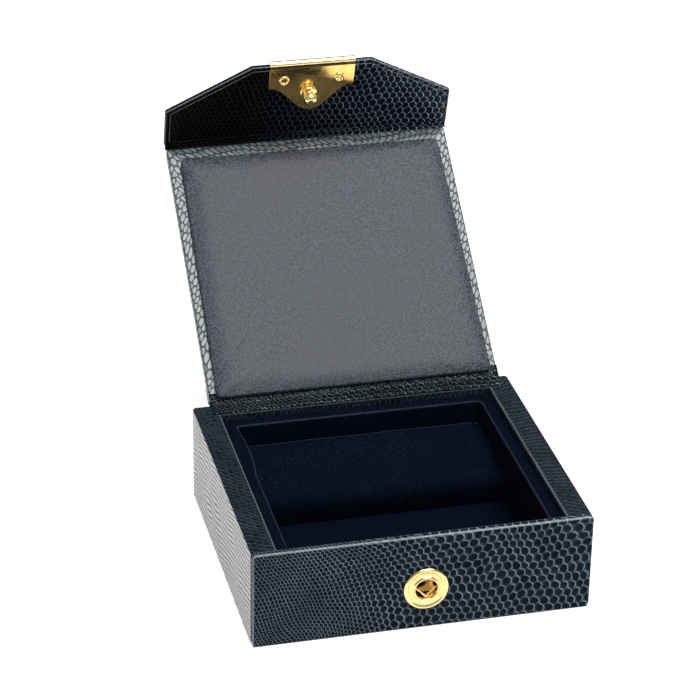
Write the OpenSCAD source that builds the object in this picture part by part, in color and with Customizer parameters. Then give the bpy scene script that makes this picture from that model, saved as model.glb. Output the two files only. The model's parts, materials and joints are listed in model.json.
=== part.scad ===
// Leather-covered jewellery box with a velvet tray, a padded lid and a snap flap.
// Origin: centre of the underside. +X to the right, +Y to the hinge side, +Z up.
// It is drawn open, as it stands on a table, and every size is in millimetres.

/* [Box] */
// Outer width, side to side
box_w = 112; // [104:1:130]
// Outer depth, front to back
box_d = 98; // [96:1:110]
// Height of the side rims
box_h = 34; // [33:0.5:38]
// Width of each side rim
side_rim = 8; // [7:0.5:10]
// Width of the back rim
back_rim = 6.8; // [6:0.2:9]
// Thickness of the front lip
front_lip = 2.4; // [2.2:0.1:3]
// How far the front lip stands above the side rims
lip_rise = 0.4; // [0:0.1:0.4]
// Radius of the back corners in plan
back_corner_r = 1.2; // [1:0.1:4]
// Thickness of the leather on the box
skin = 0.5; // [0.4:0.1:0.6]

/* [Tray] */
// Drop from the rims to the velvet flange
flange_drop = 2.5; // [2:0.25:4]
// Width of the velvet flange
flange_w = 5; // [4:0.5:6]
// Thickness of the tray walls
tray_wall = 1.2; // [1:0.1:1.6]
// Height of the velvet floor above the table
floor_z = 10; // [7:0.5:12]
// Height of the roll at its back edge
roll_back_z = 24; // [20:0.5:26]
// Height of the roll at its rounded front edge
roll_front_z = 20.4; // [18:0.2:22]
// Depth of the roll, front to back
roll_d = 32; // [26:1:40]
// Radius of the roll's front edge
roll_nose_r = 4.5; // [3:0.5:6]

/* [Lid] */
// Width of the lid
lid_w = 102.6; // [98:0.2:106]
// How far the lid and flap sit right of the middle
lid_x = 1.4; // [0:0.1:1.6]
// Distance from the hinge line to the flap's crease
crease_s = 99.6; // [99:0.1:101]
// Thickness of the lid without its pad
lid_t = 3.2; // [2.8:0.1:4]
// How far the lid is open, 0 when closed
lid_open = 141.9; // [0:0.1:141.9]
// Thickness of the satin pad with its card
pad_t = 2.6; // [2:0.1:2.8]
// Width of the satin pad
pad_w = 93.2; // [90:0.2:93.6]

/* [Flap] */
// Width of the flap
flap_w = 103.8; // [98:0.2:106]
// Height of the flap's straight sides
flap_side = 16; // [14:0.2:20]
// Whole height of the flap
flap_h = 32.8; // [31:0.2:33.4]
// Half width of the flap's straight top edge
flap_top_x = 21.6; // [18:0.1:30]
// Thickness of the flap
flap_t = 1.8; // [1.6:0.1:2.2]
// How far the flap is folded inwards from flat
flap_fold = 67.8; // [0:0.1:90]

/* [Clasp] */
// How far the clasp stands right of the middle
clasp_x = 0.6; // [0:0.1:1]
// Height of the socket above the table
socket_z = 14.9; // [14:0.1:16]
// Outer radius of the socket ring
socket_r = 7.5; // [7:0.1:8]
// Radius of the hole in the socket
socket_hole_r = 3.6; // [3.5:0.1:3.8]
// Width of the clasp plate
plate_w = 30.8; // [28:0.2:34]
// Thickness of the plate's brass sheet
plate_t = 0.5; // [0.4:0.1:0.6]
// Distance from the crease to the plate's rounded tip
plate_tip = 12.8; // [12:0.2:14]
// Height of the stud above the plate
stud_h = 5.5; // [5:0.1:5.8]
// Radius of the stud's head
stud_r = 2.5; // [2.2:0.1:2.6]
// Distance of each rivet from the middle
rivet_x = 10; // [9:0.1:12]

/* [Hidden] */
$fn = 48;
half_w = box_w / 2;
half_d = box_d / 2;
lip_back_y = -half_d + front_lip;
rim_x = half_w - side_rim;
rim_back_y = half_d - back_rim;
lip_top = box_h + lip_rise;
board_top = 3;
cover_t = 0.6;
leather_foot = 0.2;
turn_in = 12;
front_corner_r = 1;

flange_z = box_h - flange_drop;
flange_t = 1;
flange_gap = 0.1;
tray_x = rim_x - flange_w;
tray_back_y = rim_back_y - flange_w;
front_flange = 4.6;
tray_front_y = lip_back_y + front_flange;
tray_corner_r = 1.5;
flange_corner_r = 4.5;
floor_t = 1.2;
rail_gap = 0.2;
rail_back_y = tray_front_y - tray_wall - rail_gap;
rail_top = flange_z - flange_t;

roll_gap = 0.1;
roll_back_y = tray_back_y - roll_gap;
roll_front_y = roll_back_y - roll_d;
roll_crown = 0.9;
velvet_t = 0.7;

hinge_inset = 0.4;
hinge_rise = 0.9;
hinge_y = half_d - hinge_inset;
hinge_z = box_h + hinge_rise;
hinge_bead_r = 0.5;
strip_t = 0.4;
lid_strip_t = 0.3;
lid_strip_h = 2.4;
lid_strip_gap = 0.2;
strip_w = lid_w;
spine_h = 7;
spine_drop = 0.8;
lid_start = 1;
lid_gap = 0.6;
lid_end = crease_s - lid_gap;
lid_skin = 0.5;
lid_corner_r = 0.8;
lid_board_r = 0.4;
lid_border = 10;
pad_gap = 0.1;
pad_top_border = 6.2;
pad_start = back_rim + pad_gap;
pad_end = crease_s - pad_top_border;
card_t = 0.5;
card_inset = 0.4;
pad_corner_r = 1.5;

crease_bead_r = 0.45;
flap_start = 0.6;
flap_skin = 0.4;
flap_border = 1.6;
chamfer = atan2(flap_h - flap_side, flap_w / 2 - flap_top_x);

barrel_r = socket_hole_r + 0.8;
barrel_d = 5.4;
barrel_base_t = 0.4;
barrel_clear = 0.1;
washer_r = 6.3;
washer_t = 0.6;
wire_r = 0.3;
wire_apex = 3.1;
wire_depth = 0.3;

rivet_t = 26.5;
rivet_r = 1.9;
rivet_bore_r = 0.8;
rivet_shank_r = 1.2;
rivet_rim = 0.6;
plate_x = plate_w / 2;
plate_side_r = 0.9;
ogee_x = plate_x - plate_side_r;
ogee_shape = 1.05;
ogee_top = 23;
stud_x = clasp_x - lid_x;
stud_t = hinge_z - socket_z;
stud_neck_r = 1.6;
stud_collar_r = 3.1;
stud_collar_t = 0.8;
stud_foot_r = 2.5;
stud_head_h = 2.9;
edge_round = 0.3;
hole_gap = 0.1;
cut = 0.5;

leather_color = "#20262b";
lining_color = "#2c3338";
velvet_color = "#101426";
satin_color = "#5a5864";
board_color = "#8a8378";
wood_color = "#b08a5a";
brass_color = "#d8a63c";

// ---- placing ----

// The lid's own frame: Y runs from the hinge line to the crease, Z stands up from its inner face.
module on_lid() {
    translate([lid_x, hinge_y, hinge_z]) rotate([180 - lid_open, 0, 0]) children();
}

// The flap's own frame: Y runs from the crease to the free edge, Z stands up from its inner face.
module on_flap() {
    on_lid() translate([0, crease_s, 0]) rotate([flap_fold, 0, 0]) children();
}

// The socket's own frame: Z points out of the front face.
module on_front() {
    translate([clasp_x, -half_d, socket_z]) rotate([90, 0, 0]) children();
}

// ---- outlines ----

// A plan with straight front corners and round back corners.
module back_rounded(half, y0, y1, r) {
    translate([-half, y0]) square([2 * half, y1 - y0 - r]);
    translate([-half + r, y0]) square([2 * (half - r), y1 - y0]);
    for (side = [-1, 1]) translate([side * (half - r), y1 - r]) circle(r);
}

// A rectangle with four round corners.
module round_rect(half, y0, y1, r) {
    translate([-half, y0 + r]) square([2 * half, y1 - y0 - 2 * r]);
    translate([-half + r, y0]) square([2 * (half - r), y1 - y0]);
    for (side = [-1, 1], y = [y0 + r, y1 - r]) translate([side * (half - r), y]) circle(r);
}

// The three walls in plan, drawn in by inset on their outer and inner faces.
module walls_plan(inset) {
    difference() {
        back_rounded(half_w - inset, lip_back_y, half_d - inset, back_corner_r - inset);
        translate([-rim_x - inset, lip_back_y - cut])
            square([2 * (rim_x + inset), rim_back_y + inset - lip_back_y + cut]);
    }
}

// The flap's outline, drawn in by inset along its sides, chamfers and top.
function flap_outline(inset) =
    let (
        side = flap_w / 2 - inset,
        top = flap_h - inset,
        reach = flap_w / 2 * sin(chamfer) + flap_side * cos(chamfer) - inset,
        shoulder = (reach - side * sin(chamfer)) / cos(chamfer),
        corner = (reach - top * cos(chamfer)) / sin(chamfer)
    )
    [[-side, flap_start], [-side, shoulder], [-corner, top],
     [corner, top], [side, shoulder], [side, flap_start]];

// The roll in section: a crowned top that slopes down to a rounded front edge.
function roll_outline(inset) =
    let (
        back = roll_back_y - inset,
        top = roll_back_z - inset,
        nose = roll_nose_r - inset,
        nose_y = roll_front_y + roll_nose_r,
        nose_z = roll_front_z - roll_nose_r,
        top_steps = 8,
        nose_steps = 6
    )
    concat(
        [[back, floor_z]],
        [for (i = [0 : top_steps]) let (k = i / top_steps)
            [back + (nose_y - back) * k,
             top + (nose_z + nose - top) * k + 4 * roll_crown * k * (1 - k)]],
        [for (i = [1 : nose_steps]) let (a = 90 + 90 * i / nose_steps)
            [nose_y + nose * cos(a), nose_z + nose * sin(a)]],
        [[roll_front_y + inset, floor_z]]
    );

// The plate's lower edge: an ogee on each side of a rounded tip.
function ogee(x) =
    plate_tip + (ogee_top - plate_tip) * (1 - cos(180 * pow(abs(x) / ogee_x, ogee_shape))) / 2;

// ---- box ----

module underside_cover() {
    color(leather_color) linear_extrude(cover_t)
        back_rounded(half_w - skin, -half_d + skin, half_d - skin, back_corner_r - skin);
}

module base_board() {
    color(board_color) translate([0, 0, cover_t]) linear_extrude(board_top - cover_t)
        back_rounded(half_w - skin, -half_d + skin, half_d - skin, back_corner_r - skin);
}

// The wooden walls, cut where they butt against each other.
module wall_core(x0, x1, y0) {
    color(wood_color) intersection() {
        translate([0, 0, board_top]) linear_extrude(box_h - skin - board_top) walls_plan(skin);
        translate([x0, y0, 0]) cube([x1 - x0, box_d, box_h]);
    }
}

module left_wall() {
    wall_core(-half_w, -rim_x - skin, lip_back_y);
}

module right_wall() {
    wall_core(rim_x + skin, half_w, lip_back_y);
}

module back_wall() {
    wall_core(-rim_x - skin, rim_x + skin, rim_back_y + skin);
}

// A straight hole for the socket's barrel, through whatever lies behind the front face.
module socket_bore() {
    on_front() translate([0, 0, -barrel_d - cut]) cylinder(r = barrel_r + barrel_clear, h = barrel_d + 2 * cut);
}

module front_panel() {
    color(board_color) difference() {
        translate([-half_w + skin, -half_d + skin, board_top])
            cube([box_w - 2 * skin, front_lip - 2 * skin, lip_top - skin - board_top]);
        socket_bore();
    }
}

module front_rail() {
    color(wood_color) difference() {
        translate([-rim_x, lip_back_y, board_top])
            cube([2 * rim_x, rail_back_y - lip_back_y, rail_top - board_top]);
        socket_bore();
        on_front() translate([0, 0, -barrel_d - cut])
            cylinder(r = washer_r + 2 * barrel_clear, h = washer_t + cut + barrel_clear);
    }
}

module wall_leather() {
    color(leather_color) difference() {
        translate([0, 0, leather_foot]) linear_extrude(box_h - leather_foot) walls_plan(0);
        translate([0, 0, -cut]) linear_extrude(box_h - skin + cut) walls_plan(skin);
        translate([-rim_x - 2 * skin, lip_back_y - cut, -cut])
            cube([2 * (rim_x + 2 * skin), rim_back_y + 2 * skin - lip_back_y + cut, box_h - turn_in + cut]);
    }
}

module front_leather() {
    color(leather_color) difference() {
        translate([0, 0, leather_foot]) linear_extrude(lip_top - leather_foot)
            round_rect(half_w, -half_d, lip_back_y, front_corner_r);
        translate([-half_w + skin, -half_d + skin, -cut])
            cube([box_w - 2 * skin, front_lip - 2 * skin, lip_top - skin + cut]);
        translate([-half_w + skin, lip_back_y - 1.5 * skin, -cut])
            cube([box_w - 2 * skin, 2 * skin, rail_top + cut]);
        on_front() translate([0, 0, -front_lip]) cylinder(r = barrel_r + barrel_clear, h = front_lip + cut);
    }
}

// The outer strip that carries the lid's leather down the back wall.
module spine_leather() {
    color(leather_color) translate([lid_x - strip_w / 2, half_d, box_h - spine_drop - spine_h])
        cube([strip_w, strip_t, spine_h]);
}

// The inner strip glued along the back rim, with its fold on the hinge line.
module hinge_leather() {
    color(lining_color) translate([lid_x - strip_w / 2, 0, 0]) {
        translate([0, rim_back_y, box_h]) cube([strip_w, hinge_y - rim_back_y, strip_t]);
        translate([0, hinge_y - strip_t, box_h]) cube([strip_w, strip_t, hinge_z - box_h]);
        translate([0, hinge_y, hinge_z]) rotate([0, 90, 0]) cylinder(r = hinge_bead_r, h = strip_w);
    }
}

// ---- tray ----

module tray_liner() {
    color(velvet_color) difference() {
        union() {
            translate([0, 0, board_top]) linear_extrude(flange_z - board_top)
                round_rect(tray_x + tray_wall, tray_front_y - tray_wall, tray_back_y + tray_wall,
                           tray_corner_r + tray_wall);
            translate([0, 0, rail_top]) linear_extrude(flange_t)
                round_rect(rim_x - flange_gap, lip_back_y + flange_gap, rim_back_y - flange_gap,
                           flange_corner_r);
        }
        translate([0, 0, board_top - cut]) linear_extrude(box_h)
            round_rect(tray_x, tray_front_y, tray_back_y, tray_corner_r);
    }
}

module tray_plate(z, t) {
    translate([0, 0, z]) linear_extrude(t)
        round_rect(tray_x - flange_gap, tray_front_y + flange_gap, tray_back_y - flange_gap, tray_corner_r);
}

module floor_packer() {
    color(board_color) tray_plate(board_top, floor_z - floor_t - board_top);
}

module tray_floor() {
    color(velvet_color) tray_plate(floor_z - floor_t, floor_t);
}

// The roll, drawn in by inset all round, with back corners that follow the tray's.
module roll_bar(inset) {
    half = tray_x - roll_gap - inset;
    intersection() {
        rotate([90, 0, 90]) translate([0, 0, -half]) linear_extrude(2 * half) polygon(roll_outline(inset));
        linear_extrude(box_h)
            round_rect(half, tray_front_y, roll_back_y - inset, tray_corner_r - roll_gap - inset);
    }
}

module roll_core() {
    color(satin_color) roll_bar(velvet_t);
}

module roll_cover() {
    color(velvet_color) difference() {
        roll_bar(0);
        roll_bar(velvet_t);
    }
}

// ---- socket ----

module socket_ring() {
    color(brass_color) on_front() rotate_extrude() polygon([
        [socket_hole_r, 0], [socket_hole_r, 0.9], [socket_hole_r + 0.25, 1.1], [socket_hole_r + 0.6, 1],
        [socket_hole_r + 0.9, 0.7], [socket_r - 1.1, 0.7], [socket_r - 0.8, 0.9], [socket_r - 0.4, 0.85],
        [socket_r - 0.05, 0.45], [socket_r, 0]
    ]);
}

module socket_barrel() {
    color(brass_color) on_front() rotate_extrude() polygon([
        [0, -barrel_d], [barrel_r, -barrel_d], [barrel_r, 0], [socket_hole_r, 0],
        [socket_hole_r, -barrel_d + barrel_base_t], [0, -barrel_d + barrel_base_t]
    ]);
}

// Two wire legs in a V, which grip the stud behind its head.
module socket_spring() {
    leg_x = (wire_apex + sqrt(2 * pow(socket_hole_r - 0.1, 2) - pow(wire_apex, 2))) / 2;
    color(brass_color) on_front() translate([0, -wire_apex, -wire_depth]) {
        sphere(wire_r);
        for (side = [-1, 1]) rotate([-90, 0, side * 45]) cylinder(r = wire_r, h = leg_x * sqrt(2) - wire_r);
    }
}

module socket_washer() {
    color(brass_color) on_front() translate([0, 0, -barrel_d]) difference() {
        cylinder(r = washer_r, h = washer_t);
        translate([0, 0, -cut]) cylinder(r = barrel_r, h = washer_t + 2 * cut);
    }
}

// ---- lid ----

module lid_board() {
    color(board_color) on_lid() translate([0, 0, -lid_t + lid_skin]) linear_extrude(lid_t - 2 * lid_skin)
        round_rect(lid_w / 2 - lid_skin, lid_start + lid_skin, lid_end - lid_skin, lid_board_r);
}

module lid_leather() {
    color(leather_color) on_lid() difference() {
        translate([0, 0, -lid_t]) linear_extrude(lid_t)
            round_rect(lid_w / 2, lid_start, lid_end, lid_corner_r);
        translate([0, 0, -lid_t + lid_skin]) linear_extrude(lid_t - 2 * lid_skin)
            round_rect(lid_w / 2 - lid_skin, lid_start + lid_skin, lid_end - lid_skin, lid_board_r);
        translate([-lid_w / 2 + lid_border, lid_start + lid_border, -lid_t / 2])
            cube([lid_w - 2 * lid_border, lid_end - lid_start - 2 * lid_border, lid_t]);
    }
}

module lid_hinge_leather() {
    color(lining_color) on_lid() translate([-strip_w / 2, lid_start + lid_strip_gap, 0])
        cube([strip_w, lid_strip_h, lid_strip_t]);
}

module pad_card() {
    color(board_color) on_lid() linear_extrude(card_t)
        round_rect(pad_w / 2 - card_inset, pad_start + card_inset, pad_end - card_inset, pad_corner_r);
}

module lid_pad() {
    color(satin_color) on_lid() translate([0, 0, card_t]) linear_extrude(pad_t - card_t)
        round_rect(pad_w / 2, pad_start, pad_end, pad_corner_r);
}

// ---- flap ----

// Holes for the two rivets and the stud's shank, through the flap's layers.
module clasp_holes(shank_r) {
    for (side = [-1, 1]) translate([side * rivet_x, rivet_t, -flap_t - plate_t - cut])
        cylinder(r = rivet_shank_r, h = flap_t + 2 * plate_t + 2 * cut);
    translate([stud_x, stud_t, -flap_t - plate_t - cut])
        cylinder(r = shank_r, h = flap_t + 2 * plate_t + 2 * cut);
}

module flap_board() {
    color(board_color) on_flap() difference() {
        translate([0, 0, -flap_t + flap_skin]) linear_extrude(flap_t - 2 * flap_skin)
            polygon(flap_outline(flap_skin));
        clasp_holes(stud_neck_r);
    }
}

module flap_leather() {
    color(leather_color) on_flap() difference() {
        translate([0, 0, -flap_t]) linear_extrude(flap_t) polygon(flap_outline(0));
        translate([0, 0, -flap_t + flap_skin]) linear_extrude(flap_t - 2 * flap_skin)
            polygon(flap_outline(flap_skin));
        translate([0, 0, -flap_skin - hole_gap]) linear_extrude(1) polygon(flap_outline(flap_border));
        clasp_holes(stud_neck_r);
    }
}

module flap_lining() {
    color(lining_color) on_flap() difference() {
        translate([0, 0, -flap_skin]) linear_extrude(flap_skin) polygon(flap_outline(flap_border));
        clasp_holes(stud_neck_r);
    }
}

// The fold between lid and flap, rolled on the crease line.
module crease_leather() {
    color(leather_color) on_flap() translate([-flap_w / 2, 0, 0]) rotate([0, 90, 0])
        cylinder(r = crease_bead_r, h = flap_w);
}

// One leaf of the plate: straight sides above, an ogee down to the tip.
module plate_leaf() {
    steps = 24;
    linear_extrude(plate_t) polygon(concat(
        [[plate_x, flap_h - cut], [-plate_x, flap_h - cut], [-plate_x, ogee_top + plate_side_r]],
        [for (i = [0 : 4]) let (a = 180 + 18 * i)
            [-plate_x + plate_side_r + plate_side_r * cos(a), ogee_top + plate_side_r + plate_side_r * sin(a)]],
        [for (i = [0 : steps]) let (x = ogee_x * (2 * i / steps - 1)) [x, ogee(x)]],
        [for (i = [0 : 4]) let (a = 270 + 18 * i)
            [plate_x - plate_side_r + plate_side_r * cos(a), ogee_top + plate_side_r + plate_side_r * sin(a)]]
    ));
}

// The brass plate: two leaves and the fold that wraps the flap's free edge.
module clasp_plate() {
    fold_r = flap_t / 2 + plate_t;
    color(brass_color) on_flap() difference() {
        union() {
            plate_leaf();
            translate([0, 0, -flap_t - plate_t]) plate_leaf();
            translate([-plate_x, flap_h - 2 * cut, -flap_t - plate_t]) cube([plate_w, 2 * cut, 2 * fold_r]);
            translate([-plate_x, flap_h - hole_gap, -flap_t / 2]) rotate([0, 90, 0])
                cylinder(r = fold_r, h = plate_w);
        }
        translate([-plate_x - cut, flap_h / 2, -flap_t]) cube([plate_w + 2 * cut, flap_h / 2, flap_t]);
        clasp_holes(stud_neck_r);
    }
}

// One hollow rivet through both leaves, its rims rolled over.
module rivet() {
    low = -flap_t - plate_t - rivet_rim;
    high = plate_t + rivet_rim;
    rotate_extrude() polygon([
        [rivet_bore_r, low], [rivet_r - 0.4, low], [rivet_r, low + 0.3], [rivet_r, low + rivet_rim],
        [rivet_shank_r, low + rivet_rim], [rivet_shank_r, high - rivet_rim], [rivet_r, high - rivet_rim],
        [rivet_r, high - 0.3], [rivet_r - 0.4, high], [rivet_bore_r + 0.3, high], [rivet_bore_r, high - 0.3]
    ]);
}

module plate_rivets() {
    color(brass_color) on_flap() for (side = [-1, 1]) translate([side * rivet_x, rivet_t, 0]) rivet();
}

// The turned stud: shank through the flap, collar, neck and a domed head.
module stud() {
    shank = -flap_t - plate_t;
    head = stud_h - stud_head_h;
    color(brass_color) on_flap() translate([stud_x, stud_t, plate_t]) rotate_extrude() polygon([
        [0, shank - plate_t - rivet_rim], [stud_foot_r - edge_round, shank - plate_t - rivet_rim],
        [stud_foot_r, shank - plate_t], [stud_neck_r, shank - plate_t], [stud_neck_r, 0],
        [stud_collar_r, 0], [stud_collar_r, stud_collar_t - edge_round], [stud_collar_r - edge_round, stud_collar_t],
        [stud_neck_r, stud_collar_t], [stud_neck_r, head], [stud_r - 0.2, head + 0.3], [stud_r, head + 0.7],
        [stud_r, head + 1.2], [stud_r - 0.3, head + 1.9], [stud_r - 0.9, head + 2.6], [1, stud_h], [0, stud_h]
    ]);
}

underside_cover();
base_board();
left_wall();
right_wall();
back_wall();
front_panel();
front_rail();
wall_leather();
front_leather();
spine_leather();
hinge_leather();
tray_liner();
floor_packer();
tray_floor();
roll_core();
roll_cover();
socket_ring();
socket_barrel();
socket_spring();
socket_washer();
lid_board();
lid_leather();
lid_hinge_leather();
pad_card();
lid_pad();
flap_board();
flap_leather();
flap_lining();
crease_leather();
clasp_plate();
plate_rivets();
stud();
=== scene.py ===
"""The looks of the leather jewellery box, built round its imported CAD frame."""

import json
from math import cos, exp, pi, radians, sin, sqrt

import bmesh
import bpy
import numpy as np
from mathutils import Matrix, Vector


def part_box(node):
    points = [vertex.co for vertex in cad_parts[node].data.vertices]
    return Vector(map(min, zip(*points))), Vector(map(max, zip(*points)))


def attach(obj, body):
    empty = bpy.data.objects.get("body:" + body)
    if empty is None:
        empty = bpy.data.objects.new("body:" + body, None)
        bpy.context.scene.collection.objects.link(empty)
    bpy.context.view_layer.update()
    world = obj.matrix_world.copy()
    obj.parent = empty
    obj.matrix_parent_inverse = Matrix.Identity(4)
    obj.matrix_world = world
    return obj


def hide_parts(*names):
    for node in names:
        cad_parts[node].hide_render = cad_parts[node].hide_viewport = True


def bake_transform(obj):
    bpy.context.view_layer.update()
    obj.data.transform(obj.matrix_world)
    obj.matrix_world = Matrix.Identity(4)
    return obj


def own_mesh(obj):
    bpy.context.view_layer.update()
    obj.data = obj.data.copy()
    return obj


MM = 0.001
HIDE = "hide_mm"  # the UV map that holds the flat leather's own millimetres
WEAR_AND_HIGHLIGHT = "wear_and_highlight"  # how far a piece is painted pale along its folded edges: part rubbing, part painted highlight

PLATE_THICK = 0.5 * MM
LEATHER_EDGE = 0.7 * MM  # the radius at which leather goes round a board's edge
WALL_CORNER = 1.2 * MM
WALL_EDGE = 0.8 * MM
BOARD_CORNER_STEPS = 5

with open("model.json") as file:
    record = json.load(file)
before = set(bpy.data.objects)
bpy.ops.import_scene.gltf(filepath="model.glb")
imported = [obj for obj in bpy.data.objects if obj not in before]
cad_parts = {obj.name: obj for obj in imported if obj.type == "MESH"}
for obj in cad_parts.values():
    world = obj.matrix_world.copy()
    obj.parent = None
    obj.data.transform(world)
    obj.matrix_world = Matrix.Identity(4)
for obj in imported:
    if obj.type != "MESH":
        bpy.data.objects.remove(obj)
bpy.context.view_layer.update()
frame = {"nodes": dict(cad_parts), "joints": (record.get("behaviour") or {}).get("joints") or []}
joints = {j["name"]: j for j in frame["joints"]}


# ---------- the frame's own places ----------

hinge = Vector(joints["lid_hinge"]["pos_m"])
crease = Vector(joints["flap_hinge"]["pos_m"])
lid_length = (crease - hinge).length
flap_fold = radians(90 - joints["flap_hinge"]["range_deg"][1])
lid_low, lid_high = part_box("lid_leather")
lid_x = (lid_low.x + lid_high.x) / 2
hinge.x = crease.x = lid_x


def frame_matrix(origin, along):
    """Local X stays X, local Y runs along, and local Z is the inner side's normal."""
    inner = Vector((1, 0, 0)).cross(along)
    return Matrix.Translation(origin) @ Matrix((Vector((1, 0, 0)), along, inner)).transposed().to_4x4()


lid_along = (crease - hinge).normalized()
LID = frame_matrix(hinge, lid_along)
FLAP = frame_matrix(crease, Matrix.Rotation(flap_fold, 3, "X") @ lid_along)
FRONT = Matrix(((1, 0, 0, 0), (0, 0, 1, 0), (0, 1, 0, 0), (0, 0, 0, 1)))  # local Y is up, local Z goes in


def local_box(node, matrix):
    """A CAD node's lowest and highest corner, in the frame that matrix gives."""
    points = [matrix.inverted() @ v.co for v in frame["nodes"][node].data.vertices]
    low = Vector([min(p[i] for p in points) for i in range(3)])
    high = Vector([max(p[i] for p in points) for i in range(3)])
    return low, high


# ---------- nodes ----------


class Shader:
    """A material's node tree, with one call for each kind of node."""

    def __init__(self, name):
        self.material = bpy.data.materials.new(name)
        self.material.use_nodes = True
        self.tree = self.material.node_tree
        self.tree.nodes.clear()
        self.bsdf = self.add("BsdfPrincipled")
        output = self.add("OutputMaterial")
        self.tree.links.new(self.bsdf.outputs[0], output.inputs["Surface"])

    def add(self, kind, **settings):
        node = self.tree.nodes.new("ShaderNode" + kind)
        for key, value in settings.items():
            setattr(node, key, value)
        return node

    def put(self, socket, value):
        if isinstance(value, bpy.types.NodeSocket):
            self.tree.links.new(value, socket)
        elif value is not None:
            socket.default_value = value

    def feed(self, node, *values, **named):
        """Gives the node's sockets their values: in order, or by name with _ for a space."""
        for socket, value in zip(node.inputs, values):
            self.put(socket, value)
        for name, value in named.items():
            self.put(node.inputs[name.replace("_", " ")], value)
        return node

    def set(self, **values):
        self.feed(self.bsdf, **values)

    def math(self, operation, *values, clamp=False):
        return self.feed(self.add("Math", operation=operation, use_clamp=clamp), *values).outputs[0]

    def times(self, *values, clamp=False):
        return self.math("MULTIPLY", *values, clamp=clamp)

    def vector(self, operation, *values):
        node = self.feed(self.add("VectorMath", operation=operation), *values)
        return node.outputs["Value" if operation in ("LENGTH", "DOT_PRODUCT") else "Vector"]

    def scaled(self, vector, factor):
        return self.feed(self.add("VectorMath", operation="SCALE"), vector, Scale=factor).outputs["Vector"]

    def split(self, vector):
        node = self.feed(self.add("SeparateXYZ"), vector)
        return node.outputs["X"], node.outputs["Y"], node.outputs["Z"]

    def join(self, x, y, z=0.0):
        return self.feed(self.add("CombineXYZ"), x, y, z).outputs[0]

    def ramp(self, value, low, high, to_low=0.0, to_high=1.0, kind="SMOOTHSTEP"):
        node = self.add("MapRange", interpolation_type=kind, clamp=True)
        self.feed(node, Value=value, From_Min=low, From_Max=high, To_Min=to_low, To_Max=to_high)
        return node.outputs[0]

    def mix(self, factor, a, b):
        a, b = (c if isinstance(c, bpy.types.NodeSocket) else (*c, 1) for c in (a, b))
        node = self.add("Mix", data_type="RGBA")
        for name, value in (("Factor", factor), ("A", a), ("B", b)):
            self.put(node.inputs[name], value)
        return node.outputs["Result"]

    def noise(self, where, scale, detail=3.0, rough=0.55, output="Fac"):
        node = self.feed(self.add("TexNoise"), Vector=where, Scale=scale, Detail=detail, Roughness=rough)
        return node.outputs[output]

    def drift(self, where, scale, detail, reach):
        """A wandering shift in u and v, of up to half of reach each way."""
        shift = self.vector("SUBTRACT", self.noise(where, scale, detail, output="Color"), (0.5, 0.5, 0.5))
        return self.vector("MULTIPLY", shift, (reach, reach, 0.0))

    def wear_and_highlight(self):
        return self.add("Attribute", attribute_name=WEAR_AND_HIGHLIGHT).outputs["Fac"]

    def place_mm(self):
        """The point on the object, in millimetres, at rest."""
        return self.scaled(self.add("TexCoord").outputs["Object"], 1 / MM)

    def bump(self, height, distance_mm, strength=1.0, before=None):
        node = self.add("Bump")
        self.feed(node, Height=height, Distance=distance_mm * MM, Strength=strength, Normal=before)
        return node.outputs["Normal"]


# ---------- lizard leather ----------


def hide_place(s, wander, tilt, stretch):
    """Millimetres on the flat hide, gently wandering as skin does, with its rows turned by tilt degrees."""
    flat = s.add("UVMap", uv_map=HIDE).outputs["UV"]
    flat = s.vector("ADD", flat, s.drift(flat, 0.05, 1.0, 5.0 * wander))
    if tilt:
        turn_cos, turn_sin = cos(radians(tilt)), sin(radians(tilt))
        flat = s.join(s.vector("DOT_PRODUCT", flat, (turn_cos, turn_sin, 0.0)),
                      s.vector("DOT_PRODUCT", flat, (-turn_sin, turn_cos, 0.0)))
    return s.vector("MULTIPLY", flat, (1.0, 1 / stretch, 1.0))


def graded(s, flat, pitch, fine_pitch, turn, spread):
    """Cells per unit, finer on the low-x side of turn: a conformal map, which keeps the cells' shape."""
    coarse = 1 / pitch
    if fine_pitch == pitch:
        return s.scaled(flat, coarse)
    extra = (1 / fine_pitch - coarse) * spread
    x, y, _ = s.split(s.vector("SUBTRACT", flat, (*turn, 0.0)))
    p, q = s.math("DIVIDE", x, spread), s.math("DIVIDE", y, spread)
    grow = s.math("EXPONENT", p)
    real = s.math("ADD", 1.0, s.times(grow, s.math("COSINE", q)))
    imaginary = s.times(grow, s.math("SINE", q))
    log_size = s.math("LOGARITHM", s.vector("LENGTH", s.join(real, imaginary)), exp(1))
    angle = s.math("ARCTAN2", imaginary, real)
    more_u = s.times(s.math("SUBTRACT", p, log_size), extra)
    more_v = s.times(s.math("SUBTRACT", q, angle), extra)
    return s.join(s.math("ADD", s.times(x, coarse), more_u),
                  s.math("ADD", s.times(y, coarse), more_v))


def scale_cells(s, cells):
    """The point within its own scale, on a staggered lattice, and a number that is the scale's own."""
    size = (1.0, sqrt(3), 1.0)
    half = (size[0] / 2, size[1] / 2, 0.0)
    periods = 400  # far enough to keep every place positive
    far = s.vector("ADD", cells, (size[0] * periods, size[1] * periods, 0.0))
    first = s.vector("SUBTRACT", s.vector("MODULO", far, size), half)
    second = s.vector("SUBTRACT", s.vector("MODULO", s.vector("ADD", far, half), size), half)
    nearer = s.math("LESS_THAN", s.vector("LENGTH", first), s.vector("LENGTH", second))
    inside = s.vector("ADD", second, s.scaled(s.vector("SUBTRACT", first, second), nearer))
    own = s.add("TexWhiteNoise", noise_dimensions="2D")
    s.put(own.inputs["Vector"], s.vector("SUBTRACT", far, inside))
    return inside, own.outputs["Value"]


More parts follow.
